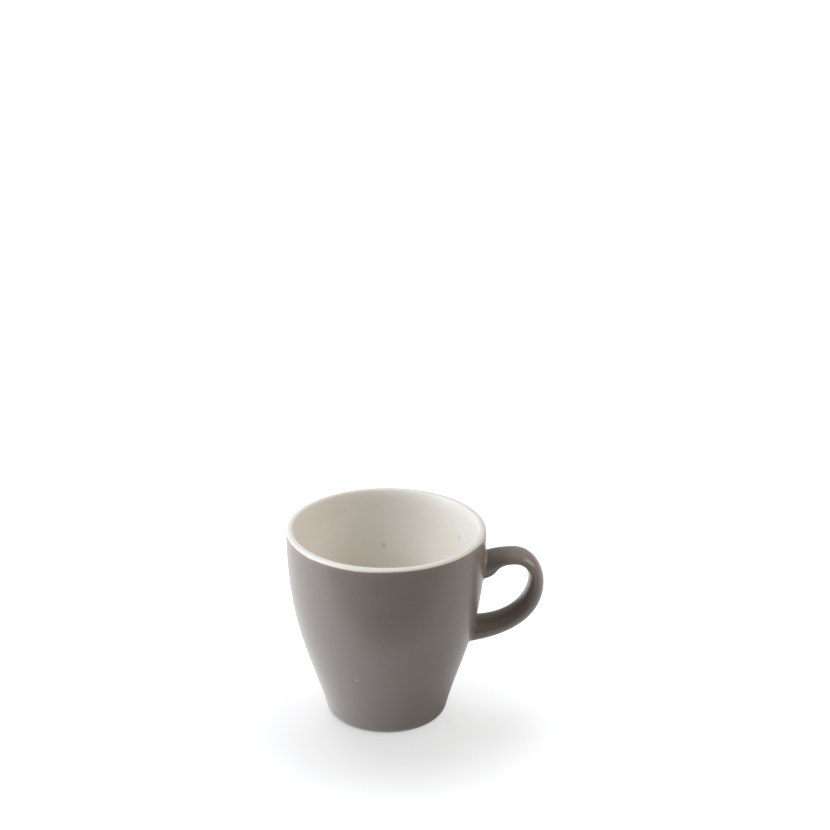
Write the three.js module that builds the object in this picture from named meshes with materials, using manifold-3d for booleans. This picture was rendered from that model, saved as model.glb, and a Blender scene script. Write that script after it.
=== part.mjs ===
// A two-tone glazed stoneware coffee cup, built up the way a pottery makes it:
// a jiggered clay body, a cast clay handle stuck on with slip, a white glaze poured inside
// and over the lip, and a taupe glaze over the outside, the handle and the underside.
// Millimetres, +Z up, standing on Z = 0, with the handle towards +X.
import * as THREE from "three";
import { mergeVertices } from "three/addons/utils/BufferGeometryUtils.js";
import Module from "manifold-3d";

const wasm = await Module();
wasm.setup();

// Cup: outside sizes over the glaze
const cupHeight = 81.5;
const rimDiameter = 80;
const lipThickness = 3;
const wallThicknessAtHeel = 4.6;
const heelLean = 13.8; // degrees that the wall leans out as it leaves the heel
const lowerFullness = 0.303; // shares of the wall's rise over which it keeps its end directions
const upperFullness = 0.524;

// Foot and floor
const footDiameter = 40.4;
const footRingWidth = 4;
const footHeight = 2.5;
const recessRadius = 1.2;
const heelRadius = 4.6;
const floorThickness = 4.5;
const innerCornerRadius = 9;

// Coats and joints
const glazeThickness = 0.4;
const bondGap = 0.15; // left between a coat and the clay under it
const slipThickness = 1;
const glazeLineAngle = 28; // degrees above the lip's widest point where white meets taupe
const glazeStopAngle = -65; // degrees round the heel where the taupe is wiped off the foot

// Handle: drops are measured down from the rim, reaches out from the rim's edge
const handleReach = 23.5;
const reachDrop = 24.4;
const innerReachRise = 2.2; // the finger hole is widest this much higher than the outside is
const crownReach = 11.5;
const crownDrop = 10.4;
const upperRootDrop = 12.2;
const upperRootHeight = 10.2;
const lowerRootDrop = 50.6;
const lowerRootHeight = 10.7;
const crownThickness = 5.3;
const bendThickness = 6;
const strapWidth = 13;
const rootWidth = 14.5;
const rootFillet = 1.1;
const rootSink = 2; // the loop's edges start this deep inside the wall
const upperOuterAngle = 20; // degrees above level at which each edge leaves the wall
const upperInnerAngle = 2;
const lowerOuterAngle = 8;
const lowerInnerAngle = -8.5;
const strapSquareness = 2.2; // 2 is an ellipse, and more is squarer

// Fineness
const turnSteps = 48;
const wallSteps = 7;
const arcSteps = 3;
const loopSteps = 30;
const sectionSteps = 18;
const filletSteps = 3;
const capSteps = 3;
const bisections = 40;
const sameSpot = 1e-6; // points nearer than this count as one

// Values that follow
const rimRadius = rimDiameter / 2;
const footRadius = footDiameter / 2;
const lipRadius = lipThickness / 2;
const coat = glazeThickness + bondGap;
const floorLevel = footHeight + floorThickness;
const lipCentre = new THREE.Vector2(rimRadius - lipRadius, cupHeight - lipRadius);
const heelCentre = new THREE.Vector2(footRadius, heelRadius);

const radians = THREE.MathUtils.degToRad;
const point = (x, y) => new THREE.Vector2(x, y);
const heading = (degrees) => point(Math.cos(radians(degrees)), Math.sin(radians(degrees)));
const along = (from, degrees, distance) => heading(degrees).multiplyScalar(distance).add(from);

// Finds where a rising function of t reaches a value.
function whereReaches(value, rising, low, high) {
  for (let i = 0; i < bisections; i += 1) {
    const middle = (low + high) / 2;
    if (rising(middle) < value) low = middle;
    else high = middle;
  }
  return (low + high) / 2;
}

// Wall: one curve from the heel's arc to the upright lip, x as radius and y as height
const wallFoot = along(heelCentre, -heelLean, heelRadius);
const wallHead = point(rimRadius, lipCentre.y);
const wallRise = wallHead.y - wallFoot.y;
const wallCurve = new THREE.CubicBezierCurve(
  wallFoot,
  along(wallFoot, 90 - heelLean, lowerFullness * wallRise),
  along(wallHead, -90, upperFullness * wallRise),
  wallHead,
);

// A point of the wall, moved in from its outside face.
function wallPoint(t, depth) {
  const tangent = wallCurve.getTangent(t);
  return wallCurve.getPoint(t).add(point(-tangent.y, tangent.x).multiplyScalar(depth));
}

const wallThickness = (t) => THREE.MathUtils.lerp(wallThicknessAtHeel, lipThickness, t);

function wallRadiusAt(height) {
  const t = whereReaches(height, (u) => wallCurve.getPoint(u).y, 0, 1);
  return wallCurve.getPoint(t).x;
}

// Inside corner: an arc that touches both the floor and the inner face of the wall
const cornerHeight = floorLevel + innerCornerRadius;
const cornerDepth = (t) => wallThickness(t) + innerCornerRadius;
const cornerStart = whereReaches(cornerHeight, (t) => wallPoint(t, cornerDepth(t)).y, 0, 1);
const cornerCentre = wallPoint(cornerStart, cornerDepth(cornerStart));
const cornerTangent = wallCurve.getTangent(cornerStart);
const cornerAngle = THREE.MathUtils.radToDeg(Math.atan2(-cornerTangent.x, cornerTangent.y));

// Stretches of profile. Each is a list of points, in the order that the angles or t run.
function arc(centre, radius, fromDegrees, toDegrees, steps = arcSteps) {
  return Array.from({ length: steps + 1 }, (_, i) =>
    along(centre, THREE.MathUtils.lerp(fromDegrees, toDegrees, i / steps), radius));
}

function wallStretch(fromT, toT, depth) {
  return Array.from({ length: wallSteps + 1 }, (_, i) => {
    const t = THREE.MathUtils.lerp(fromT, toT, i / wallSteps);
    return wallPoint(t, depth(t));
  });
}

const heelArc = (depth, from, to) => arc(heelCentre, heelRadius - depth, from, to);
const outerWall = (depth, from, to) => wallStretch(from, to, () => depth);
const lipArc = (depth, from, to) => arc(lipCentre, lipRadius - depth, from, to);

// The inside from the lip down to the axis, at a depth behind its white face.
function insideFace(depth) {
  return [
    ...lipArc(depth, 90, 180),
    ...wallStretch(1, cornerStart, (t) => wallThickness(t) - depth),
    ...arc(cornerCentre, innerCornerRadius + depth, cornerAngle, -90),
    point(0, floorLevel - depth),
  ];
}

// Turns a profile round the cup's axis. Points that repeat their neighbour are left out.
function turned(profile) {
  const distinct = profile.filter((p, i) => i === 0 || p.distanceTo(profile[i - 1]) > sameSpot);
  return new THREE.LatheGeometry(distinct, turnSteps).rotateX(Math.PI / 2);
}

// Clay body: recess under the foot, foot ring trimmed straight up to the wiped line,
// heel, wall, lip and inside
function cupBody() {
  const ringInside = footRadius - footRingWidth;
  const recessCorner = point(ringInside - recessRadius, footHeight - recessRadius);
  return turned([
    point(0, footHeight),
    ...arc(recessCorner, recessRadius, 90, 0),
    point(ringInside, 0),
    point(footRadius, 0),
    ...heelArc(coat, glazeStopAngle, -heelLean),
    ...outerWall(coat, 0, 1),
    ...lipArc(coat, 0, 90),
    ...insideFace(coat),
  ]);
}

// White glaze: the whole inside, over the lip to the glaze line
function linerGlaze() {
  const seam = glazeLineAngle + THREE.MathUtils.radToDeg(bondGap / lipThickness);
  return turned([
    ...insideFace(glazeThickness).reverse(),
    ...lipArc(glazeThickness, 90, seam),
    ...lipArc(0, seam, 90),
    ...insideFace(0),
  ]);
}

// Taupe glaze on the outside, from the wiped foot up to the glaze line
function wallGlazeCoat() {
  const seam = glazeLineAngle - THREE.MathUtils.radToDeg(bondGap / lipThickness);
  const outside = (depth) => [
    ...heelArc(depth, glazeStopAngle, -heelLean),
    ...outerWall(depth, 0, 1),
    ...lipArc(depth, 0, seam),
  ];
  const face = outside(0);
  return turned([...face, ...outside(glazeThickness).reverse(), face[0]]);
}

// Taupe glaze on the underside, a shallow dish inside the foot ring
function undersideGlaze() {
  const ringInside = footRadius - footRingWidth;
  const recessCorner = point(ringInside - recessRadius, footHeight - recessRadius);
  return turned([
    point(0, footHeight - coat),
    ...arc(recessCorner, recessRadius - coat, 90, 0),
    ...arc(recessCorner, recessRadius - bondGap, 0, 90),
    point(0, footHeight - bondGap),
  ]);
}

// Handle loop: an outer and an inner edge in the XZ plane, each of three spans,
// root to crown, crown to the outermost point, and back to the lower root
const quarterPull = 0.5523; // makes a cubic span close to a quarter of an ellipse
const rootPull = 0.4;
const holeTopPull = 0.64; // keeps the finger hole's top edge level for longer at both its ends

function loopEdge(upper, upperAngle, topPull, crown, outermost, lower, lowerAngle) {
  const upperPull = topPull * upper.distanceTo(crown);
  const lowerPull = rootPull * lower.distanceTo(outermost);
  const across = quarterPull * (outermost.x - crown.x);
  const down = quarterPull * (crown.y - outermost.y);
  return [
    new THREE.CubicBezierCurve(
      upper, along(upper, upperAngle, upperPull), along(crown, 180, upperPull), crown),
    new THREE.CubicBezierCurve(
      crown, along(crown, 0, across), along(outermost, 90, down), outermost),
    new THREE.CubicBezierCurve(
      outermost, along(outermost, -90, lowerPull), along(lower, lowerAngle, lowerPull), lower),
  ];
}

const rootPoint = (height) => point(wallRadiusAt(height) - rootSink, height);
const crown = point(rimRadius + crownReach, cupHeight - crownDrop);
const outermost = point(rimRadius + handleReach, cupHeight - reachDrop);
const outerEdge = loopEdge(
  rootPoint(cupHeight - upperRootDrop),
  upperOuterAngle,
  rootPull,
  crown,
  outermost,
  rootPoint(cupHeight - lowerRootDrop),
  lowerOuterAngle,
);
const innerEdge = loopEdge(
  rootPoint(cupHeight - upperRootDrop - upperRootHeight),
  upperInnerAngle,
  holeTopPull,
  point(crown.x, crown.y - crownThickness),
  point(outermost.x - bendThickness, outermost.y + innerReachRise),
  rootPoint(cupHeight - lowerRootDrop + lowerRootHeight),
  lowerInnerAngle,
);

// Place along the loop: 0 at the upper root to 1 at the lower, spread by the outer edge's length
const spanLengths = outerEdge.map((span) => span.getLength());
const loopLength = spanLengths.reduce((sum, length) => sum + length, 0);

function edgePoint(edge, place) {
  let left = place * loopLength;
  let span = 0;
  while (span < edge.length - 1 && left > spanLengths[span]) {
    left -= spanLengths[span];
    span += 1;
  }
  return edge[span].getPoint(Math.min(left / spanLengths[span], 1));
}

// One point of the strap's skin at a place and a turn round its section, set in by an inset.
// Also gives the direction square to the skin there.
function strapPoint(place, turn, inset) {
  const outer = edgePoint(outerEdge, place);
  const inner = edgePoint(innerEdge, place);
  const across = outer.clone().sub(inner).normalize();
  const halfThickness = outer.distanceTo(inner) / 2 - inset;
  const halfWidth = THREE.MathUtils.lerp(strapWidth, rootWidth, (2 * place - 1) ** 2) / 2 - inset;
  const rounded = (v, power) => Math.sign(v) * Math.abs(v) ** power;
  const [c, s] = [Math.cos(turn), Math.sin(turn)];
  const thick = halfThickness * rounded(c, 2 / strapSquareness);
  const wide = halfWidth * rounded(s, 2 / strapSquareness);
  const middle = outer.add(inner).multiplyScalar(0.5);
  const skin = new THREE.Vector3(
    middle.x + across.x * thick, wide, middle.y + across.y * thick);
  const squarePower = 2 - 2 / strapSquareness;
  const up = rounded(c, squarePower) / halfThickness;
  const side = rounded(s, squarePower) / halfWidth;
  const square = new THREE.Vector3(across.x * up, side, across.y * up).normalize();
  return { skin, square };
}

// How far a point stands out from the wall's outside face, measured level.
const standOff = (p) => Math.hypot(p.x, p.y) - wallRadiusAt(p.z);

// Moves a point in or out along X until it stands off the wall by a distance.
function setOff(p, distance) {
  p.x = Math.sqrt((wallRadiusAt(p.z) + distance) ** 2 - p.y ** 2);
  return p;
}

// Place where one line of the skin stands off the wall by a distance, at either root.
function rootPlace(root, turn, inset, distance) {
  if (root === "upper") {
    return whereReaches(distance, (u) => standOff(strapPoint(u, turn, inset).skin), 0, 0.5);
  }
  return whereReaches(-distance, (u) => -standOff(strapPoint(u, turn, inset).skin), 0.5, 1);
}

const turns = Array.from({ length: sectionSteps }, (_, i) => (2 * Math.PI * i) / sectionSteps);

// A ring of the root's flare, at one distance from the wall. The flare is a quarter round,
// and the layers under the glaze follow it with the same centre and a larger radius.
function flareRing(root, inset, distance, spread = 0) {
  const radius = rootFillet + inset;
  const reach = Math.min(Math.max(rootFillet - distance, 0), radius);
  const flare = radius - Math.sqrt(radius ** 2 - reach ** 2) + spread;
  return turns.map((turn) => {
    const { skin, square } = strapPoint(rootPlace(root, turn, inset, distance), turn, inset);
    return setOff(skin.addScaledVector(square, flare), distance);
  });
}

// Flare rings from one distance to another, both ends included.
function flareRings(root, inset, from, to) {
  return Array.from({ length: filletSteps + 1 }, (_, i) =>
    flareRing(root, inset, THREE.MathUtils.lerp(from, to, i / filletSteps)));
}

// The strap's rings between its two flares, ends left out. They stand closest together
// at the upper root, where the strap's underside bends most.
function strapRings(inset) {
  const starts = turns.map((turn) => rootPlace("upper", turn, inset, rootFillet));
  const ends = turns.map((turn) => rootPlace("lower", turn, inset, rootFillet));
  return Array.from({ length: loopSteps - 1 }, (_, k) => {
    const share = (k + 1) / loopSteps;
    const crowded = (share + share ** 2) / 2;
    return turns.map((turn, i) =>
      strapPoint(THREE.MathUtils.lerp(starts[i], ends[i], crowded), turn, inset).skin);
  });
}

// All rings of one layer of the handle, root to root, from a distance off the wall.
function loopRings(inset, distance) {
  return [
    ...flareRings("upper", inset, distance, rootFillet),
    ...strapRings(inset),
    ...flareRings("lower", inset, rootFillet, distance),
  ];
}

// Rings that close the end of a solid, shrinking to its middle and hugging the wall.
function capRings(ring, distance) {
  const middle = ring.reduce((sum, p) => sum.add(p), new THREE.Vector3()).divideScalar(ring.length);
  return Array.from({ length: capSteps }, (_, i) =>
    ring.map((p) => setOff(middle.clone().lerp(p, i / capSteps), distance)));
}

// Skins a list of rings with triangles. A closed list runs from its last ring to its first.
function skinned(rings, closed = false) {
  const corners = rings.flat().flatMap((p) => p.toArray());
  const faces = [];
  const last = closed ? rings.length : rings.length - 1;
  for (let k = 0; k < last; k += 1) {
    const next = (k + 1) % rings.length;
    for (let i = 0; i < sectionSteps; i += 1) {
      const j = (i + 1) % sectionSteps;
      const [a, b] = [k * sectionSteps + i, k * sectionSteps + j];
      const [c, d] = [next * sectionSteps + i, next * sectionSteps + j];
      faces.push(a, d, b, a, c, d);
    }
  }
  const geometry = new THREE.BufferGeometry();
  geometry.setAttribute("position", new THREE.Float32BufferAttribute(corners, 3));
  geometry.setIndex(faces);
  return geometry;
}

// Levels at a root, off the wall's outside face
const slipBack = -glazeThickness;
const slipFront = slipBack + slipThickness;
const handleEnd = slipFront + bondGap;

// Clay handle: one cast strap with both ends hollowed to the wall's curve
function handleStrap() {
  const rings = loopRings(coat, handleEnd);
  return skinned([
    ...capRings(rings[0], handleEnd),
    ...rings,
    ...capRings(rings[rings.length - 1], handleEnd).reverse(),
  ]);
}

// Slip joint: the pad of slip squeezed between the wall and one end of the handle
function slipJoint(root) {
  const rings = flareRings(root, coat, slipBack, slipFront);
  const pad = [
    ...capRings(rings[0], slipBack),
    ...rings,
    ...capRings(rings[rings.length - 1], slipFront).reverse(),
  ];
  return skinned(root === "upper" ? pad : pad.reverse());
}

// Taupe glaze sleeve round the handle, with a flared foot in the wall glaze at each root
function handleGlaze() {
  const face = loopRings(0, 0);
  const back = loopRings(glazeThickness, slipBack);
  return skinned([...face, ...back.reverse()], true);
}

// Closed solids in manifold-3d and back
function solidFrom(geometry) {
  const bare = geometry.clone();
  bare.deleteAttribute("normal");
  bare.deleteAttribute("uv");
  const merged = mergeVertices(bare);
  return new wasm.Manifold(new wasm.Mesh({
    numProp: 3,
    vertProperties: merged.attributes.position.array,
    triVerts: new Uint32Array(merged.index.array),
  }));
}

function geometryFrom(solid) {
  const { vertProperties, triVerts } = solid.getMesh();
  const geometry = new THREE.BufferGeometry();
  geometry.setAttribute("position", new THREE.BufferAttribute(vertProperties, 3));
  geometry.setIndex(new THREE.BufferAttribute(triVerts, 1));
  return geometry;
}

// Plug that clears the wall glaze for one foot of the handle's sleeve, extruded along X
function rootPlug(root) {
  const outline = flareRing(root, 0, 0, bondGap).map((p) => point(p.y, p.z));
  const plug = new THREE.ExtrudeGeometry(new THREE.Shape(outline), {
    depth: rimRadius + handleReach,
    bevelEnabled: false,
  });
  const toYZ = new THREE.Matrix4().makeBasis(
    new THREE.Vector3(0, 1, 0), new THREE.Vector3(0, 0, 1), new THREE.Vector3(1, 0, 0));
  return plug.applyMatrix4(toYZ);
}

function wallGlaze() {
  const coatSolid = solidFrom(wallGlazeCoat());
  const plugs = ["upper", "lower"].map((root) => solidFrom(rootPlug(root)));
  return geometryFrom(plugs.reduce((left, plug) => left.subtract(plug), coatSolid));
}

// Finishes
const finish = (color, roughness) => new THREE.MeshStandardMaterial({ color, roughness, metalness: 0 });
const bareClay = finish(0xd8cdbd, 0.85);
const driedSlip = finish(0xcfc3b2, 0.9);
const whiteGlaze = finish(0xe9e6df, 0.3);
const taupeGlaze = finish(0x7d7670, 0.45);

function piece(name, geometry, material) {
  const mesh = new THREE.Mesh(geometry, material);
  mesh.name = name;
  return mesh;
}

// The vessel and its handle, moved so that the origin is under the middle of the whole cup
const vessel = new THREE.Group();
vessel.add(
  piece("cup_body", cupBody(), bareClay),
  piece("liner_glaze", linerGlaze(), whiteGlaze),
  piece("wall_glaze", wallGlaze(), taupeGlaze),
  piece("underside_glaze", undersideGlaze(), taupeGlaze),
);

const handle = new THREE.Group();
handle.add(
  piece("handle", handleStrap(), bareClay),
  piece("upper_slip_joint", slipJoint("upper"), driedSlip),
  piece("lower_slip_joint", slipJoint("lower"), driedSlip),
  piece("handle_glaze", handleGlaze(), taupeGlaze),
);

const cup = new THREE.Group();
cup.add(vessel, handle);
cup.position.x = -handleReach / 2;

const part = new THREE.Group();
part.add(cup);

export default part;
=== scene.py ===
"""A two-tone stoneware coffee cup: a white liner glaze, a satin taupe outside and a cast loop handle."""
import math

import bpy
import numpy as np
from mathutils import Matrix, Vector


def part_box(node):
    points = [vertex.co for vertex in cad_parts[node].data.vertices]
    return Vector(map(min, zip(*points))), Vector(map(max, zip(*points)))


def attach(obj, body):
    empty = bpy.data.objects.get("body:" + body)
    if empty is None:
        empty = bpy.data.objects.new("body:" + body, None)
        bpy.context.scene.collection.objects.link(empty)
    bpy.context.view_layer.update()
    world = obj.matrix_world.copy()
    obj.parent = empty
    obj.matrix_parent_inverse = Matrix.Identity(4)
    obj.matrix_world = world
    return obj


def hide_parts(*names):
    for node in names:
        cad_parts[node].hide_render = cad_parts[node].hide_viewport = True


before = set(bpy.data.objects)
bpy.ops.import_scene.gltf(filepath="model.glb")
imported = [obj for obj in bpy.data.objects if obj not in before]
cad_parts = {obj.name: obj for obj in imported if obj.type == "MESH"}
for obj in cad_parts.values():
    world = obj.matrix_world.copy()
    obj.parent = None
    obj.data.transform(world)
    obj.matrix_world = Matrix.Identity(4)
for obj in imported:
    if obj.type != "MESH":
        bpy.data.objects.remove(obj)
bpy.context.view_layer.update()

MM = 0.001
BODY = "root"


def node_box(node):
    """Lowest and highest corner of a solid of the frame, in millimetres."""
    low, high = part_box(node)
    return np.array(low) / MM, np.array(high) / MM


# Sizes taken from the frame, in millimetres
wall_low, wall_high = node_box("wall_glaze")
AXIS_X = (wall_low[0] + wall_high[0]) / 2
RIM_RADIUS = (wall_high[1] - wall_low[1]) / 2
CUP_HEIGHT = node_box("liner_glaze")[1][2]
HANDLE_TIP = node_box("handle_glaze")[1][0] - AXIS_X

# Vessel, in millimetres and degrees
LIP_RADIUS = 1.5  # of the lip's outer side
LIP_FLAT = 0.8  # its top is level over this width
LIP_EASE = 5  # and its inner side rounds off over this height
LIP_THICKNESS = 3.6
HEEL_WALL = 4.6  # thickness of the wall above the heel
HEEL_LEAN = 13.8  # of the wall there, outwards from upright
HEEL_RADIUS = 4.6
LOWER_FULLNESS = 0.303  # pulls of the wall's curve at its two ends, as shares of its rise
UPPER_FULLNESS = 0.524
FOOT_RADIUS = 20.2
FOOT_RING_WIDTH = 4
FOOT_EDGE = 0.5
FOOT_EDGE_END = -30  # where the foot ring's outer edge meets the heel, on that edge's round
FOOT_HEIGHT = 2.5
RECESS_RADIUS = 1.2
FLOOR_LEVEL = 7
INNER_CORNER = 9
GLAZE = 0.4
BOND_GAP = 0.15
COAT = GLAZE + BOND_GAP
GLAZE_STOP = -65  # where the glaze is wiped off, on the heel's round

# Glaze line round the lip: its angle above the lip's widest point, with a lean towards one side
# and a few sags where the white ran further down, each an azimuth, a drop and a half width in degrees
LINE_ANGLE = 20
LINE_LEAN = 5
LINE_LEAN_TOWARDS = -40
LINE_SAGS = (
    (-140, 5, 2), (-130, 7, 20), (-106, 10, 8), (-18, 13, 5), (40, 6, 12), (95, 8, 10), (150, 5, 8))
LINE_GAP = math.degrees(GLAZE / 2 / LIP_RADIUS)
BREAK_WIDTH = 0.45  # the taupe is thin, and fires brown, this far below the line
EDGE_BREAK = 0.4  # and this much on the strap's side edges, from the upper root to the bend
EDGE_BREAK_END = (0.35, 0.5)  # shares of the strap's length
EDGE_SHARPNESS = 100  # a higher power keeps the brown closer to the edge

# Handle, in millimetres and degrees: heights above the table, reaches from the cup's axis
CROWN = (RIM_RADIUS + 11.5, CUP_HEIGHT - 10.4)
TIP = (HANDLE_TIP, CUP_HEIGHT - 24.4)
CROWN_THICKNESS = 5.3
BEND_THICKNESS = 6
STRAP_WIDTH = 13
ROOT_WIDTH = 14.5
HOLE_RISE = 2.2
UPPER_ROOT = (CUP_HEIGHT - 12.2, CUP_HEIGHT - 22.4)
LOWER_ROOT = (CUP_HEIGHT - 50.6, CUP_HEIGHT - 39.9)
UPPER_ANGLES = (20, 2)
LOWER_ANGLES = (8, -8.5)
ROOT_FILLET = 1.1
ROOT_SINK = 2
ROOT_TUCK = 0.06  # the flare's feather edge runs this deep under the wall's face
FACE_ROUNDING = 2.2  # powers of the strap's section: its two faces are full
SIDE_ROUNDING = 1.8  # and they meet in narrow edges at its sides
STRAP_FULLNESS = 0.2  # added to the strap's thickness, which the narrow edges take away
ROOT_PULL = 0.4
HOLE_TOP_PULL = 0.64
QUARTER_PULL = 0.5523

# Finishes: colours, and sizes of their patterns in millimetres
TAUPE_COOL = "#867e78"
TAUPE_WARM = "#8d7f78"
TAUPE_DEEP = "#625a54"
TAUPE_BREAK = "#a08b78"
TAUPE_ROUGHNESS = (0.28, 0.34)
TAUPE_IOR = 1.62
CLOUD_SIZE = 9
GRAIN_SIZE = 0.7
GRAIN_RANGE = (0.62, 0.78)  # of the noise, from plain glaze to full grain
GRAIN_SHARE = 0.25
PEEL_SIZE = 2.5
PEEL_DETAIL = 1.0
PEEL_STRENGTH = 0.5
TAUPE_RELIEF = 0.03
LINER_WHITE = "#efece6"
LINER_CREAM = "#ede6db"
LINER_ROUGHNESS = (0.3, 0.38)
LINER_IOR = 1.38
POOL_SIZE = 18
SOFT_DETAIL = 2.0  # of the noise in clouds, grain and pools
SPECK_SPACING = 11
FINE_SPECK = 0.35
FINE_SPECK_COLOUR = "#8f8475"
FINE_SPECK_SHARE = 0.15
# Each single speck: azimuth, height, depth behind the outside face, radius, colour and share
WALL_SPECKS = (
    (-112.5, 28.7, 0, 0.45, "#c9c4bc", 0.8),
    (-113.4, 13.4, 0, 0.4, "#4a423c", 0.7),
    (-88.2, 62.3, 0, 0.4, "#4a423c", 0.6),
)
INSIDE_SPECKS = (
    (90.9, 57.1, 4.2, 1.3, "#8d8678", 0.3),
    (32.8, 67.5, 4.1, 1.4, "#9b9588", 0.2),
)
CLAY_PALE = "#dccdb6"
CLAY_DARK = "#b9a68c"
SLIP_PALE = "#cfc0a9"
SLIP_DARK = "#ab9980"
CLAY_ROUGHNESS = 0.85
CLAY_RELIEF = 0.05
GRIT_SIZE = 0.5
SLIP_GRAIN = 0.3
GRIT_DETAIL = 4.0
GRIT_HARSHNESS = 0.7
GRIT_STRENGTH = 0.6

# Camera, in millimetres and degrees, from the cup's axis and the table
LENS = 100
SENSOR = 36
CAMERA_SIDE = 11.34
CAMERA_BACK = 837.1
CAMERA_HEIGHT = 467
CAMERA_PITCH = 21.945
CAMERA_ROLL = 0.179
HANDLE_TURN = 1.8  # the handle points this much away from the camera

# Studio, in millimetres and degrees
SHEET_SIZE = 12000
SHEET_DROP = 0.02  # the sheet lies this far under the foot ring
PAPER = "#fcfcfc"
SHEET_GLOW = "#fbfdff"  # colour of the sheet's white lift and of its painted reflection glow; cool, so that the sheet looks neutral in the warm surround
SHEET_LIFT = 0.55  # how much the sheet is lifted towards white where the camera sees it
LIFT_FADE = (45, 150)  # and further out it goes over to plain white
PAINTED_SHEET_SHINE = (1.1, 0.36)  # painted reflection: how bright the sheet glows for glossy rays only, left and right of the cup
PAINTED_SHINE_TURN = (-0.1, 1.1)  # the painted reflection goes from the left to the right value, as shares of the way out to that side
PAINTED_SHINE_FRONT_SHADE = (-97, -69)  # painted shade: the sheet's glow for glossy rays goes dark towards the front
PAINTED_SHINE_FOOT_SHADOW = (25, 48)  # and painted shadow: that glow goes dark beside the foot, on the side away from the key lamp
SURROUND_LIGHT = (0.0, 0.49)  # from its dark side, in front, to its bright side
SURROUND_TOWARDS = (50, 30)  # azimuth and elevation of the bright side
SHOWN_WHITE = "#ffffff"
DAYLIGHT = "#eff6ff"
ROOM_LIGHT = "#fffcf5"
LAMPLIGHT = "#fffaf4"
LAMP_AIM = 40  # height of the point on the cup's axis that the lamps face
# Each lamp: azimuth, elevation, distance, width, height, watts, colour, and what it lights
LAMPS = {
    "key_softbox": (190, 40, 1200, 1100, 600, 12.2, DAYLIGHT, "cup"),
    "low_key_softbox": (186, 9, 1200, 600, 400, 4.8, DAYLIGHT, "cup"),
    "fill_softbox": (0, 34, 1200, 600, 600, 4.2, LAMPLIGHT, "cup"),
    "overhead_softbox": (108, 68, 1200, 900, 900, 4.3, DAYLIGHT, "sheet"),
}

# Fineness
ROUND = 240
WALL_ROWS = 90
ARC_ROWS = 14
BEAD_ROWS = 8
STRAP_ROWS = 150
SECTION = 72
FLARE_ROWS = 14
TABLE_POINTS = 4001
SPAN_POINTS = 401
HALVINGS = 40
POLE_SIZE = 1e-6


# Curves and arcs, as rows of radius and height
def direction(degrees):
    """Unit vectors at angles from level."""
    turn = np.radians(degrees)
    return np.stack([np.cos(turn), np.sin(turn)], -1)


def bezier(corners, t):
    """Points of a cubic curve with four corners."""
    t = np.asarray(t, float)
    u = 1 - t
    weights = np.stack([u**3, 3 * u * u * t, 3 * u * t * t, t**3], -1)
    return (weights[..., None] * corners).sum(-2)


LIP_CENTRE = np.array([RIM_RADIUS - LIP_RADIUS, CUP_HEIGHT - LIP_RADIUS])
HEEL_CENTRE = np.array([FOOT_RADIUS, HEEL_RADIUS])
WALL_FOOT = HEEL_CENTRE + HEEL_RADIUS * direction(-HEEL_LEAN)
WALL_HEAD = np.array([RIM_RADIUS, LIP_CENTRE[1]])
WALL_RISE = WALL_HEAD[1] - WALL_FOOT[1]
WALL_CORNERS = np.array([
    WALL_FOOT,
    WALL_FOOT + LOWER_FULLNESS * WALL_RISE * direction(90 - HEEL_LEAN),
    WALL_HEAD - UPPER_FULLNESS * WALL_RISE * direction(90),
    WALL_HEAD,
])


def wall_slope(t):
    """Unit direction of the wall, upwards."""
    legs = np.diff(WALL_CORNERS, axis=0)
    u = 1 - np.asarray(t, float)
    weights = np.stack([u * u, 2 * u * t, np.asarray(t) ** 2], -1)
    slope = (weights[..., None] * legs).sum(-2)
    return slope / np.linalg.norm(slope, axis=-1, keepdims=True)


def wall_point(t, depth):
    """Points of the wall, set in from its outside face by a depth."""
    slope = wall_slope(t)
    inwards = np.stack([-slope[..., 1], slope[..., 0]], -1)
    return bezier(WALL_CORNERS, t) + np.asarray(depth)[..., None] * inwards


def wall_thickness(t):
    """Thickness of the whole wall, glazes included, from the heel up to the lip."""
    return HEEL_WALL + (LIP_THICKNESS - HEEL_WALL) * np.asarray(t, float)


WALL_PLACES = np.linspace(0, 1, TABLE_POINTS)
WALL_TABLE = bezier(WALL_CORNERS, WALL_PLACES)


def wall_radius(height):
    """Outside radius of the wall at heights above the table."""
    return np.interp(height, WALL_TABLE[:, 1], WALL_TABLE[:, 0])


def arc(centre, radius, start, end, rows=ARC_ROWS):
    """Rows round a centre. An end angle may differ from one azimuth to the next."""
    share = np.linspace(0, 1, rows + 1)[:, None]
    angles = np.asarray(start) * (1 - share) + np.asarray(end) * share
    return centre + radius * direction(angles)


def wall_run(start, end, depth):
    """Rows of the wall between two places on it. The depth is a length, or a function of the place."""
    t = np.linspace(start, end, WALL_ROWS + 1)
    return wall_point(t, depth(t) if callable(depth) else depth)[:, None]


def bead(centre, radius, angle, side):
    """Rounded end of a coat on an arc, from its back to its face (side 1) or the other way (-1)."""
    turn = np.linspace(0, math.pi, BEAD_ROWS + 1)[1:-1, None]
    depth = GLAZE / 2 * (1 + side * np.cos(turn))
    past = np.degrees(GLAZE / 2 * np.sin(turn) / radius)
    return centre + (radius - depth)[..., None] * direction(angle - side * past)


def spot(radius, height):
    """One row at a radius and a height."""
    return np.array([[[radius, height]]], float)


# Inside corner: an arc that touches the floor and the inner face of the wall
def corner_centre(t):
    """Centre of the arc that leaves the wall at a place."""
    return wall_point(t, wall_thickness(t) + INNER_CORNER)


CORNER_START = np.interp(FLOOR_LEVEL + INNER_CORNER, corner_centre(WALL_PLACES)[:, 1], WALL_PLACES)
CORNER_CENTRE = corner_centre(CORNER_START)
CORNER_SLOPE = wall_slope(CORNER_START)
CORNER_ANGLE = math.degrees(math.atan2(-CORNER_SLOPE[0], CORNER_SLOPE[1]))

AZIMUTHS = np.linspace(-180, 180, ROUND, endpoint=False)


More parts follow.
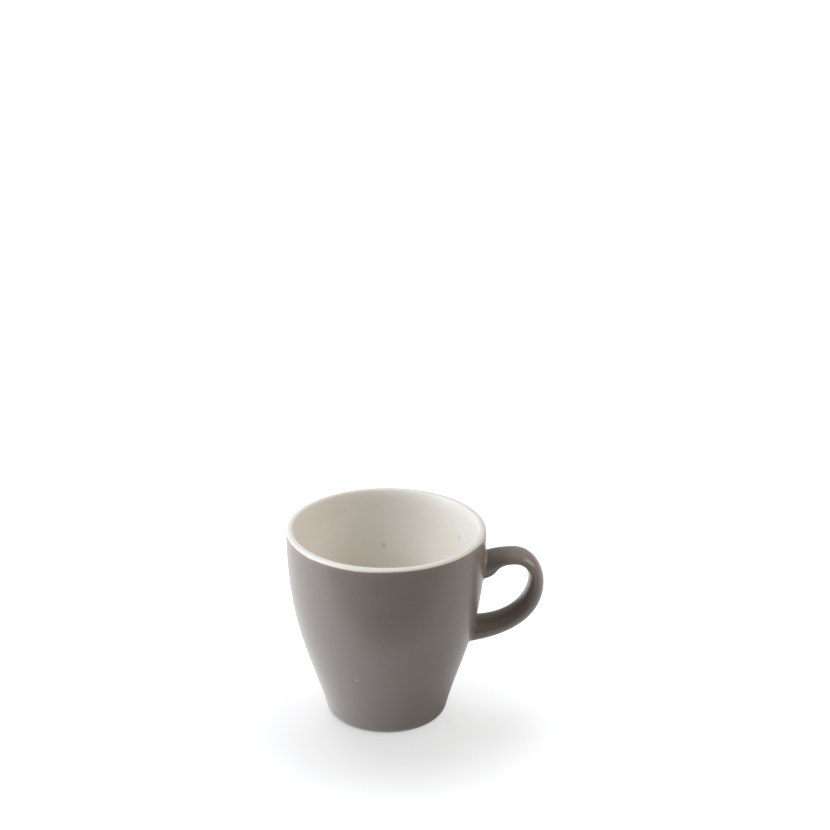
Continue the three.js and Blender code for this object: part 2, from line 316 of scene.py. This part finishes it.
def glaze_line(azimuths):
    """Angle of the glaze line on the lip, which wavers as a poured and wiped edge does."""
    angle = LINE_ANGLE + LINE_LEAN * np.cos(np.radians(azimuths - LINE_LEAN_TOWARDS))
    for place, drop, half_width in LINE_SAGS:
        angle = angle - drop * np.exp(-(((azimuths - place) / half_width) ** 2) / 2)
    return angle


LINE = glaze_line(AZIMUTHS)
EASE_PLACE = np.interp(CUP_HEIGHT - LIP_EASE, WALL_TABLE[:, 1], WALL_PLACES)


def lip_inside(depth):
    """Rows of the quarter oval from the top of the lip to the inner face of the wall."""
    end = wall_point(EASE_PLACE, wall_thickness(EASE_PLACE) - depth)
    top = np.array([LIP_CENTRE[0] - LIP_FLAT, CUP_HEIGHT - depth])
    centre = np.array([top[0], end[1]])
    return (centre + np.abs(top - end) * direction(np.linspace(90, 180, ARC_ROWS + 1)))[:, None]


def inside_face(depth):
    """Rows from the top of the lip down the inside to the middle of the floor."""
    return [
        lip_inside(depth),
        wall_run(EASE_PLACE, CORNER_START, lambda t: wall_thickness(t) - depth)[1:],
        arc(CORNER_CENTRE, INNER_CORNER + depth, CORNER_ANGLE, -90)[1:],
        spot(CORNER_CENTRE[0] / 2, FLOOR_LEVEL - depth),
        spot(0, FLOOR_LEVEL - depth),
    ]


# Meshes
def skin(name, rows, closed=False, thin=None):
    """Piece made of rows of points in millimetres that each run round. A row of one point is a pole."""
    index = np.empty(rows.shape[:2], int)
    points = []
    for k, row in enumerate(rows):
        pole = np.ptp(row, axis=0).max() < POLE_SIZE
        index[k] = len(points) + (0 if pole else np.arange(len(row)))
        points.extend(row[:1] if pole else row)
    if closed:
        index = np.vstack([index, index[:1]])
    following = np.roll(index, -1, axis=1)
    quads = np.stack([index[:-1], following[:-1], following[1:], index[1:]], -1).reshape(-1, 4)
    faces = [list(dict.fromkeys(quad)) for quad in quads.tolist()]
    mesh = bpy.data.meshes.new(name)
    mesh.from_pydata((np.array(points) * MM).tolist(), [], faces)
    mesh.shade_smooth()
    if thin is not None:
        layer = mesh.attributes.new("thin_glaze", "FLOAT", "POINT")
        layer.data.foreach_set("value", thin.astype(np.float32).ravel())
    piece = bpy.data.objects.new(name, mesh)
    bpy.context.scene.collection.objects.link(piece)
    return piece


def turned_rows(stretches):
    """Stretches of profile stacked and turned round the cup's axis."""
    profile = np.concatenate([
        np.broadcast_to(stretch, (len(stretch), ROUND, 2)) for stretch in stretches])
    radius, height = profile[..., 0], profile[..., 1]
    round_cup = direction(AZIMUTHS)
    across = AXIS_X + radius * round_cup[:, 0]
    return np.stack([across, radius * round_cup[:, 1], height], -1)


def clay_body():
    """Jiggered clay vessel. Only its foot ring shows, where the glaze was wiped off."""
    ring_inside = FOOT_RADIUS - FOOT_RING_WIDTH
    recess = np.array([ring_inside - RECESS_RADIUS, FOOT_HEIGHT - RECESS_RADIUS])
    inner_edge = np.array([ring_inside + FOOT_EDGE, FOOT_EDGE])
    outer_edge = np.array([FOOT_RADIUS - FOOT_EDGE, FOOT_EDGE])
    return skin("cup_body_clay", turned_rows([
        spot(0, FOOT_HEIGHT),
        arc(recess, RECESS_RADIUS, 90, 0),
        arc(inner_edge, FOOT_EDGE, 180, 270),
        arc(outer_edge, FOOT_EDGE, -90, FOOT_EDGE_END),
        arc(HEEL_CENTRE, HEEL_RADIUS - COAT, GLAZE_STOP, -HEEL_LEAN),
        wall_run(0, 1, COAT)[1:],
        arc(LIP_CENTRE, LIP_RADIUS - COAT, 0, 90)[1:],
        *inside_face(COAT),
    ]))


def liner_coat():
    """White glaze poured inside and over the lip, down to the wavering glaze line."""
    back = [stretch[::-1] for stretch in reversed(inside_face(GLAZE))]
    return skin("liner_glaze_white", turned_rows([
        *back,
        arc(LIP_CENTRE, LIP_RADIUS - GLAZE, 90, LINE + LINE_GAP),
        bead(LIP_CENTRE, LIP_RADIUS, LINE + LINE_GAP, 1),
        arc(LIP_CENTRE, LIP_RADIUS, LINE + LINE_GAP, 90),
        *inside_face(0),
    ]))


def wall_coat():
    """Satin taupe glaze from the wiped foot up to the glaze line, thin and brown under the line."""
    top = LINE - LINE_GAP
    face = [
        arc(HEEL_CENTRE, HEEL_RADIUS, GLAZE_STOP, -HEEL_LEAN),
        wall_run(0, 1, 0)[1:],
        arc(LIP_CENTRE, LIP_RADIUS, 0, top)[1:],
    ]
    back = [
        arc(LIP_CENTRE, LIP_RADIUS - GLAZE, top, 0),
        wall_run(1, 0, GLAZE)[1:],
        arc(HEEL_CENTRE, HEEL_RADIUS - GLAZE, -HEEL_LEAN, GLAZE_STOP)[1:],
    ]
    rows = turned_rows([
        *face,
        bead(LIP_CENTRE, LIP_RADIUS, top, -1),
        *back,
        bead(HEEL_CENTRE, HEEL_RADIUS, GLAZE_STOP, 1),
    ])
    heights = rows[..., 2]
    below_line = heights.max(axis=0) - heights
    thin = np.exp(-((below_line / BREAK_WIDTH) ** 2))
    return skin("wall_glaze_taupe", rows, closed=True, thin=thin)


def underside_coat():
    """Taupe glaze inside the foot ring, a shallow dish."""
    recess = np.array([FOOT_RADIUS - FOOT_RING_WIDTH - RECESS_RADIUS, FOOT_HEIGHT - RECESS_RADIUS])
    return skin("underside_glaze_taupe", turned_rows([
        spot(0, FOOT_HEIGHT - COAT),
        arc(recess, RECESS_RADIUS - COAT, 90, 0),
        arc(recess, RECESS_RADIUS - BOND_GAP, 0, 90),
        spot(0, FOOT_HEIGHT - BOND_GAP),
    ]))


# Handle loop
def loop_edge(upper, upper_angle, top_pull, crown, tip, lower, lower_angle):
    """Corners of an edge of the loop, in three spans: root to crown, crown to tip and tip to root."""
    upper = np.array([wall_radius(upper) - ROOT_SINK, upper])
    lower = np.array([wall_radius(lower) - ROOT_SINK, lower])
    crown, tip = np.array(crown), np.array(tip)
    upper_pull = top_pull * np.linalg.norm(crown - upper)
    lower_pull = ROOT_PULL * np.linalg.norm(tip - lower)
    across, down = QUARTER_PULL * np.abs(tip - crown)
    return np.array([
        [upper, upper + upper_pull * direction(upper_angle), crown - [upper_pull, 0], crown],
        [crown, crown + [across, 0], tip + [0, down], tip],
        [tip, tip - [0, lower_pull], lower + lower_pull * direction(lower_angle), lower],
    ])


OUTER_EDGE = loop_edge(
    UPPER_ROOT[0], UPPER_ANGLES[0], ROOT_PULL, CROWN, TIP, LOWER_ROOT[0], LOWER_ANGLES[0])
INNER_EDGE = loop_edge(
    UPPER_ROOT[1], UPPER_ANGLES[1], HOLE_TOP_PULL,
    (CROWN[0], CROWN[1] - CROWN_THICKNESS),
    (TIP[0] - BEND_THICKNESS, TIP[1] + HOLE_RISE),
    LOWER_ROOT[1], LOWER_ANGLES[1])
SPANS = bezier(OUTER_EDGE[:, None], np.linspace(0, 1, SPAN_POINTS)[None])
SPAN_LENGTHS = np.linalg.norm(np.diff(SPANS, axis=1), axis=-1).sum(1)
SPAN_STARTS = np.concatenate([[0], np.cumsum(SPAN_LENGTHS)])


def edge_point(edge, place):
    """Points of a loop edge, from place 0 at the upper root to 1 at the lower."""
    run = np.asarray(place, float) * SPAN_STARTS[-1]
    span = np.clip(np.searchsorted(SPAN_STARTS, run, side="right") - 1, 0, 2)
    return bezier(edge[span], (run - SPAN_STARTS[span]) / SPAN_LENGTHS[span])


def rounded(value, power):
    """Power of a value that keeps its sign."""
    return np.sign(value) * np.abs(value) ** power


def strap_point(place, turn, inset):
    """Points of the strap's skin at places along it and turns round it, and directions square to it."""
    outer, inner = edge_point(OUTER_EDGE, place), edge_point(INNER_EDGE, place)
    depth = np.linalg.norm(outer - inner, axis=-1)
    across = (outer - inner) / depth[..., None]
    half_depth = (depth + STRAP_FULLNESS) / 2 - inset
    half_width = (STRAP_WIDTH + (ROOT_WIDTH - STRAP_WIDTH) * (2 * place - 1) ** 2) / 2 - inset
    deep = half_depth * rounded(np.cos(turn), 2 / SIDE_ROUNDING)
    wide = half_width * rounded(np.sin(turn), 2 / FACE_ROUNDING)
    middle = (outer + inner) / 2 + across * deep[..., None]
    points = np.stack([middle[..., 0], wide, middle[..., 1]], -1)
    up = SIDE_ROUNDING * rounded(np.cos(turn), 2 - 2 / SIDE_ROUNDING) / half_depth
    side = FACE_ROUNDING * rounded(np.sin(turn), 2 - 2 / FACE_ROUNDING) / half_width
    square = np.stack([across[..., 0] * up, side, across[..., 1] * up], -1)
    return points, square / np.linalg.norm(square, axis=-1, keepdims=True)


TURNS = np.linspace(0, -2 * math.pi, SECTION, endpoint=False)


def root_place(upper, inset, distance):
    """Place on each line of the skin where it stands off the wall by a distance, at one root."""
    near = np.full(SECTION, 0.0 if upper else 1.0)
    far = np.full(SECTION, 0.5)
    for _ in range(HALVINGS):
        middle = (near + far) / 2
        points = strap_point(middle, TURNS, inset)[0]
        off = np.hypot(points[:, 0], points[:, 1]) - wall_radius(points[:, 2])
        near, far = np.where(off < distance, middle, near), np.where(off < distance, far, middle)
    return (near + far) / 2


def flare_row(upper, inset, distance):
    """Row of a root's flare, a quarter round that the wall's face runs into."""
    radius = ROOT_FILLET + inset
    reach = min(max(ROOT_FILLET - distance, 0), radius)
    flare = radius - math.sqrt(radius**2 - reach**2)
    points, square = strap_point(root_place(upper, inset, distance), TURNS, inset)
    points = points + square * flare
    points[:, 0] = np.sqrt((wall_radius(points[:, 2]) + distance) ** 2 - points[:, 1] ** 2)
    return points


def loop_rows(inset, distance):
    """Rows of one layer of the handle from root to root, starting at a distance from the wall's face."""
    quarter = np.linspace(0, math.pi / 2, FLARE_ROWS + 1)
    levels = ROOT_FILLET - (ROOT_FILLET - distance) * np.cos(quarter)
    starts = root_place(True, inset, ROOT_FILLET)
    ends = root_place(False, inset, ROOT_FILLET)
    shares = np.linspace(0, 1, STRAP_ROWS + 1)[1:-1]
    return np.array([
        *(flare_row(True, inset, level) for level in levels),
        *(strap_point(starts + (ends - starts) * share, TURNS, inset)[0] for share in shares),
        *(flare_row(False, inset, level) for level in levels[::-1]),
    ])


def handle_coat():
    """Taupe glaze sleeve round the handle. It is thin, and fires brown, on the strap's side edges."""
    rows = np.concatenate([loop_rows(0, -ROOT_TUCK), loop_rows(GLAZE, -GLAZE)[::-1]])
    face = len(rows) // 2
    edges = np.abs(np.sin(TURNS)) ** EDGE_SHARPNESS
    along = np.interp(np.linspace(0, 1, face), EDGE_BREAK_END, (1, 0))
    thin = np.zeros(rows.shape[:2])
    thin[:face] = EDGE_BREAK * along[:, None] * edges
    return skin("handle_glaze_taupe", rows + [AXIS_X, 0, 0], closed=True, thin=thin)


# Materials
def linear(hex_colour):
    """sRGB hex as a linear colour."""
    channels = [int(hex_colour[i:i + 2], 16) / 255 for i in (1, 3, 5)]
    return (*[c / 12.92 if c <= 0.04045 else ((c + 0.055) / 1.055) ** 2.4 for c in channels], 1)


def per_metre(size_mm):
    """Scale of a pattern whose features are this many millimetres across."""
    return 1 / (size_mm * MM)


def add(tree, kind, inputs=None, **settings):
    """Adds a node with its settings. An input is a value or another node's output."""
    made = tree.nodes.new(kind)
    for name, value in settings.items():
        setattr(made, name, value)
    for socket, value in (inputs or {}).items():
        if isinstance(value, bpy.types.NodeSocket):
            tree.links.new(value, made.inputs[socket])
        else:
            made.inputs[socket].default_value = value
    return made


def material_tree(name):
    """New material and its empty node tree."""
    material = bpy.data.materials.new(name)
    material.use_nodes = True
    material.node_tree.nodes.clear()
    return material, material.node_tree


def finish_material(tree, shader):
    """Leads a shader to the material's output."""
    add(tree, "ShaderNodeOutputMaterial", {"Surface": shader.outputs["BSDF"]})


# Sockets of the Mix node when it mixes colours
MIX_SHARE, MIX_FROM, MIX_TO, MIX_COLOUR = 0, 6, 7, 2


def on_wall(azimuth, height, depth):
    """Point at a depth behind the wall's outside face, in metres."""
    across, away = (wall_radius(height) - depth) * direction(azimuth)
    return (MM * (AXIS_X + across), MM * away, MM * height)


def specked(tree, place, colour, specks):
    """A colour with single specks in it, each a small ball that the surface cuts."""
    for azimuth, height, depth, radius, speck_colour, share in specks:
        away = add(tree, "ShaderNodeVectorMath", {
            0: place, 1: on_wall(azimuth, height, depth)}, operation="DISTANCE")
        amount = add(tree, "ShaderNodeMapRange", {
            "Value": away.outputs["Value"],
            "From Min": radius * MM / 2,
            "From Max": radius * MM,
            "To Min": share,
            "To Max": 0.0,
        })
        mixed = add(tree, "ShaderNodeMix", {
            MIX_SHARE: amount.outputs["Result"],
            MIX_FROM: colour,
            MIX_TO: linear(speck_colour),
        }, data_type="RGBA")
        colour = mixed.outputs[MIX_COLOUR]
    return colour


def satin_taupe_glaze():
    """Opaque satin stoneware glaze, dipped and fired. The eye gets a soft sheen, faint clouds of warmer
    and cooler grey where the coat varies, and brown where it runs thin, at the lip and along the strap."""
    material, tree = material_tree("satin_taupe_glaze")
    place = add(tree, "ShaderNodeTexCoord").outputs["Object"]
    clouds = add(tree, "ShaderNodeTexNoise", {
        "Vector": place, "Scale": per_metre(CLOUD_SIZE), "Detail": SOFT_DETAIL})
    grain = add(tree, "ShaderNodeTexNoise", {
        "Vector": place, "Scale": per_metre(GRAIN_SIZE), "Detail": SOFT_DETAIL})
    cloudy = add(tree, "ShaderNodeMix", {
        MIX_SHARE: clouds.outputs["Fac"],
        MIX_FROM: linear(TAUPE_COOL),
        MIX_TO: linear(TAUPE_WARM),
    }, data_type="RGBA")
    grain_share = add(tree, "ShaderNodeMapRange", {
        "Value": grain.outputs["Fac"],
        "From Min": GRAIN_RANGE[0],
        "From Max": GRAIN_RANGE[1],
        "To Max": GRAIN_SHARE,
    })
    grained = add(tree, "ShaderNodeMix", {
        MIX_SHARE: grain_share.outputs["Result"],
        MIX_FROM: cloudy.outputs[MIX_COLOUR],
        MIX_TO: linear(TAUPE_DEEP),
    }, data_type="RGBA")
    thin = add(tree, "ShaderNodeAttribute", attribute_name="thin_glaze")
    broken = add(tree, "ShaderNodeMix", {
        MIX_SHARE: thin.outputs["Fac"],
        MIX_FROM: grained.outputs[MIX_COLOUR],
        MIX_TO: linear(TAUPE_BREAK),
    }, data_type="RGBA")
    colour = specked(tree, place, broken.outputs[MIX_COLOUR], WALL_SPECKS)
    sheen = add(tree, "ShaderNodeMapRange", {
        "Value": clouds.outputs["Fac"], "To Min": TAUPE_ROUGHNESS[0], "To Max": TAUPE_ROUGHNESS[1]})
    peel = add(tree, "ShaderNodeTexNoise", {
        "Vector": place, "Scale": per_metre(PEEL_SIZE), "Detail": PEEL_DETAIL})
    relief = add(tree, "ShaderNodeBump", {
        "Height": peel.outputs["Fac"], "Strength": PEEL_STRENGTH, "Distance": TAUPE_RELIEF * MM})
    finish_material(tree, add(tree, "ShaderNodeBsdfPrincipled", {
        "Base Color": colour,
        "Roughness": sheen.outputs["Result"],
        "Normal": relief.outputs["Normal"],
        "IOR": TAUPE_IOR,
    }))
    return material


def white_liner_glaze():
    """Warm white liner glaze, poured in and out. The eye gets an even satin white, a faint creaminess
    where the glaze pools, and a few iron specks from the clay under it."""
    material, tree = material_tree("white_liner_glaze")
    place = add(tree, "ShaderNodeTexCoord").outputs["Object"]
    pools = add(tree, "ShaderNodeTexNoise", {
        "Vector": place, "Scale": per_metre(POOL_SIZE), "Detail": SOFT_DETAIL})
    creamy = add(tree, "ShaderNodeMix", {
        MIX_SHARE: pools.outputs["Fac"],
        MIX_FROM: linear(LINER_WHITE),
        MIX_TO: linear(LINER_CREAM),
    }, data_type="RGBA")
    cells = add(tree, "ShaderNodeTexVoronoi", {"Vector": place, "Scale": per_metre(SPECK_SPACING)})
    fine_specks = add(tree, "ShaderNodeMapRange", {
        "Value": cells.outputs["Distance"],
        "From Min": FINE_SPECK / SPECK_SPACING / 2,
        "From Max": FINE_SPECK / SPECK_SPACING,
        "To Min": FINE_SPECK_SHARE,
        "To Max": 0.0,
    })
    speckled = add(tree, "ShaderNodeMix", {
        MIX_SHARE: fine_specks.outputs["Result"],
        MIX_FROM: creamy.outputs[MIX_COLOUR],
        MIX_TO: linear(FINE_SPECK_COLOUR),
    }, data_type="RGBA")
    colour = specked(tree, place, speckled.outputs[MIX_COLOUR], INSIDE_SPECKS)
    sheen = add(tree, "ShaderNodeMapRange", {
        "Value": pools.outputs["Fac"], "To Min": LINER_ROUGHNESS[0], "To Max": LINER_ROUGHNESS[1]})
    finish_material(tree, add(tree, "ShaderNodeBsdfPrincipled", {
        "Base Color": colour,
        "Roughness": sheen.outputs["Result"],
        "IOR": LINER_IOR,
    }))
    return material


def bare_stoneware(name, pale, dark, grit_size):
    """Unglazed fired clay, sponged smooth. The eye gets a dry sandy surface with darker grit in it."""
    material, tree = material_tree(name)
    place = add(tree, "ShaderNodeTexCoord").outputs["Object"]
    grit = add(tree, "ShaderNodeTexNoise", {
        "Vector": place,
        "Scale": per_metre(grit_size),
        "Detail": GRIT_DETAIL,
        "Roughness": GRIT_HARSHNESS,
    })
    colour = add(tree, "ShaderNodeMix", {
        MIX_SHARE: grit.outputs["Fac"], MIX_FROM: linear(dark), MIX_TO: linear(pale),
    }, data_type="RGBA")
    relief = add(tree, "ShaderNodeBump", {
        "Height": grit.outputs["Fac"], "Strength": GRIT_STRENGTH, "Distance": CLAY_RELIEF * MM})
    finish_material(tree, add(tree, "ShaderNodeBsdfPrincipled", {
        "Base Color": colour.outputs[MIX_COLOUR],
        "Roughness": CLAY_ROUGHNESS,
        "Normal": relief.outputs["Normal"],
    }))
    return material


# Pieces on their body
def place_piece(piece, material, slot, *nodes):
    """Gives a piece its finish, and puts it on the body in place of nodes of the frame."""
    piece.data.materials.append(material)
    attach(piece, BODY)
    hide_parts(*nodes)


def refinish(node, material):
    """Gives a node of the frame that stays a better material."""
    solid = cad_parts[node]
    solid.data.materials.clear()
    solid.data.materials.append(material)


taupe = satin_taupe_glaze()
white = white_liner_glaze()
clay = bare_stoneware("bare_stoneware", CLAY_PALE, CLAY_DARK, GRIT_SIZE)
slip = bare_stoneware("fired_joining_slip", SLIP_PALE, SLIP_DARK, SLIP_GRAIN)

place_piece(clay_body(), clay, "bare_clay", "cup_body")
place_piece(liner_coat(), white, "white_glaze", "liner_glaze")
place_piece(wall_coat(), taupe, "taupe_glaze", "wall_glaze")
place_piece(handle_coat(), taupe, "taupe_glaze", "handle_glaze")
place_piece(underside_coat(), taupe, "taupe_glaze", "underside_glaze")
refinish("handle", clay)
refinish("upper_slip_joint", slip)
refinish("lower_slip_joint", slip)


# Studio: a white sheet under the cup, a white surround, soft lamps and the camera
def towards(azimuth, elevation):
    """Unit vector that points from the cup at an azimuth and an elevation."""
    away, up = direction(elevation)
    across, behind = direction(azimuth)
    return Vector((away * across, away * behind, up))


def white_paper():
    """Smooth matt studio paper. The eye gets plain white with the cup's soft shadow in it. For glossy rays
    only, it also glows, a painted reflection on the glaze: brightest on the key lamp's side, with painted
    shade towards the front and beside the foot."""
    material, tree = material_tree("white_paper")
    paper = add(tree, "ShaderNodeBsdfDiffuse", {"Color": linear(PAPER)})
    place = add(tree, "ShaderNodeVectorMath", {
        0: add(tree, "ShaderNodeTexCoord").outputs["Object"], 1: (AXIS_X * MM, 0, 0),
    }, operation="SUBTRACT")
    way_out = add(tree, "ShaderNodeVectorMath", {0: place.outputs["Vector"]}, operation="NORMALIZE")
    distance = add(tree, "ShaderNodeVectorMath", {0: place.outputs["Vector"]}, operation="LENGTH")
    # painted shadow: on the right the glow for glossy rays goes dark near the foot
    right_painted_shine_and_shadow = add(tree, "ShaderNodeMapRange", {
        "Value": distance.outputs["Value"],
        "From Min": PAINTED_SHINE_FOOT_SHADOW[0] * MM,
        "From Max": PAINTED_SHINE_FOOT_SHADOW[1] * MM,
        "To Max": PAINTED_SHEET_SHINE[1],
    }, interpolation_type="SMOOTHSTEP")
    sideways = add(tree, "ShaderNodeMapRange", {
        "Value": add(tree, "ShaderNodeSeparateXYZ", {"Vector": way_out.outputs["Vector"]}).outputs["X"],
        "From Min": PAINTED_SHINE_TURN[0],
        "From Max": PAINTED_SHINE_TURN[1],
        "To Min": PAINTED_SHEET_SHINE[0],
        "To Max": right_painted_shine_and_shadow.outputs["Result"],
    }, interpolation_type="SMOOTHSTEP")
    # painted shade: the glow for glossy rays fades out towards the front
    forwards = add(tree, "ShaderNodeMapRange", {
        "Value": add(tree, "ShaderNodeSeparateXYZ", {"Vector": place.outputs["Vector"]}).outputs["Y"],
        "From Min": PAINTED_SHINE_FRONT_SHADE[0] * MM,
        "From Max": PAINTED_SHINE_FRONT_SHADE[1] * MM,
    }, interpolation_type="SMOOTHSTEP")
    # painted reflection: the sheet's glow for glossy rays, brighter on the key lamp's side
    painted_shine = add(tree, "ShaderNodeMath", {
        0: sideways.outputs["Result"], 1: forwards.outputs["Result"]}, operation="MULTIPLY")
    path = add(tree, "ShaderNodeLightPath").outputs
    seen = add(tree, "ShaderNodeMath", {
        0: path["Is Camera Ray"], 1: path["Is Transmission Ray"]}, operation="MAXIMUM")
    far = add(tree, "ShaderNodeMapRange", {
        "Value": distance.outputs["Value"],
        "From Min": LIFT_FADE[0] * MM,
        "From Max": LIFT_FADE[1] * MM,
        "To Min": SHEET_LIFT,
        "To Max": 1.0,
    }, interpolation_type="SMOOTHSTEP")
    lift = add(tree, "ShaderNodeMath", {
        0: seen.outputs["Value"], 1: far.outputs["Result"]}, operation="MULTIPLY")
    # glossy rays see the painted reflection, camera rays the white lift
    level = add(tree, "ShaderNodeMath", {
        0: path["Is Glossy Ray"], 1: painted_shine.outputs["Value"], 2: lift.outputs["Value"]},
        operation="MULTIPLY_ADD")
    glow = add(tree, "ShaderNodeEmission", {
        "Color": linear(SHEET_GLOW), "Strength": level.outputs["Value"]})
    both = add(tree, "ShaderNodeAddShader", {0: paper.outputs["BSDF"], 1: glow.outputs["Emission"]})
    add(tree, "ShaderNodeOutputMaterial", {"Surface": both.outputs["Shader"]})
    return material


def white_sheet():
    """Sheet of paper that the cup stands on."""
    half = SHEET_SIZE / 2
    corners = [(-half, -half), (half, -half), (half, half), (-half, half)]
    mesh = bpy.data.meshes.new("white_sheet")
    mesh.from_pydata([(x * MM, y * MM, -SHEET_DROP * MM) for x, y in corners], [], [(0, 1, 2, 3)])
    mesh.materials.append(white_paper())
    sheet = bpy.data.objects.new("white_sheet", mesh)
    bpy.context.scene.collection.objects.link(sheet)
    return sheet


def white_surround():
    """World that shows white and lights the cup at a plain level, least from the front."""
    world = bpy.data.worlds.new("white_surround")
    world.use_nodes = True
    bpy.context.scene.world = world
    tree = world.node_tree
    tree.nodes.clear()
    path = add(tree, "ShaderNodeLightPath").outputs
    seen = add(tree, "ShaderNodeMath", {
        0: path["Is Camera Ray"], 1: path["Is Transmission Ray"]}, operation="MAXIMUM")
    side = add(tree, "ShaderNodeVectorMath", {
        0: add(tree, "ShaderNodeTexCoord").outputs["Generated"], 1: towards(*SURROUND_TOWARDS),
    }, operation="DOT_PRODUCT")
    light = add(tree, "ShaderNodeMapRange", {
        "Value": side.outputs["Value"],
        "From Min": -1.0,
        "To Min": SURROUND_LIGHT[0],
        "To Max": SURROUND_LIGHT[1],
    })
    lit = add(tree, "ShaderNodeBackground", {
        "Color": linear(ROOM_LIGHT), "Strength": light.outputs["Result"]})
    shown = add(tree, "ShaderNodeBackground", {"Color": linear(SHOWN_WHITE)})
    either = add(tree, "ShaderNodeMixShader", {
        0: seen.outputs["Value"], 1: lit.outputs["Background"], 2: shown.outputs["Background"]})
    add(tree, "ShaderNodeOutputWorld", {"Surface": either.outputs["Shader"]})


def softbox(name, azimuth, elevation, distance, width, height, power, colour, receivers):
    """Oblong lamp aimed at the cup, which lights only its receivers: the cup or the sheet."""
    lamp = bpy.data.lights.new(name, "AREA")
    lamp.shape = "RECTANGLE"
    lamp.size = width * MM
    lamp.size_y = height * MM
    lamp.energy = power
    lamp.color = linear(colour)[:3]
    holder = bpy.data.objects.new(name, lamp)
    way = towards(azimuth, elevation)
    holder.location = Vector((AXIS_X, 0, LAMP_AIM)) * MM + distance * MM * way
    holder.rotation_euler = way.to_track_quat("Z", "Y").to_euler()
    holder.visible_camera = False
    holder.light_linking.receiver_collection = receivers
    bpy.context.scene.collection.objects.link(holder)


def lit_together(name, things):
    """Collection of the things that a lamp lights."""
    receivers = bpy.data.collections.new(name)
    for thing in things:
        receivers.objects.link(thing)
    return receivers


def photo_camera():
    """Long lens a little above the cup, with the handle nearly square to it."""
    lens = bpy.data.cameras.new("photo_camera")
    lens.lens = LENS
    lens.sensor_width = SENSOR
    camera = bpy.data.objects.new("photo_camera", lens)
    stand = Matrix.Translation(Vector((CAMERA_SIDE, -CAMERA_BACK, CAMERA_HEIGHT)) * MM)
    tilt = Matrix.Rotation(math.radians(90 - CAMERA_PITCH), 4, "X")
    roll = Matrix.Rotation(math.radians(CAMERA_ROLL), 4, "Z")
    step_round = Matrix.Rotation(-math.radians(HANDLE_TURN), 4, "Z")
    camera.matrix_world = Matrix.Translation((AXIS_X * MM, 0, 0)) @ step_round @ stand @ tilt @ roll
    bpy.context.scene.collection.objects.link(camera)
    bpy.context.scene.camera = camera


cup = [thing for thing in bpy.context.scene.objects if thing.type == "MESH"]
receivers = {"cup": lit_together("cup", cup), "sheet": lit_together("sheet", [white_sheet()])}
for name, (*settings, lit) in LAMPS.items():
    softbox(name, *settings, receivers[lit])
white_surround()
photo_camera()
bpy.context.scene.view_settings.view_transform = "Standard"
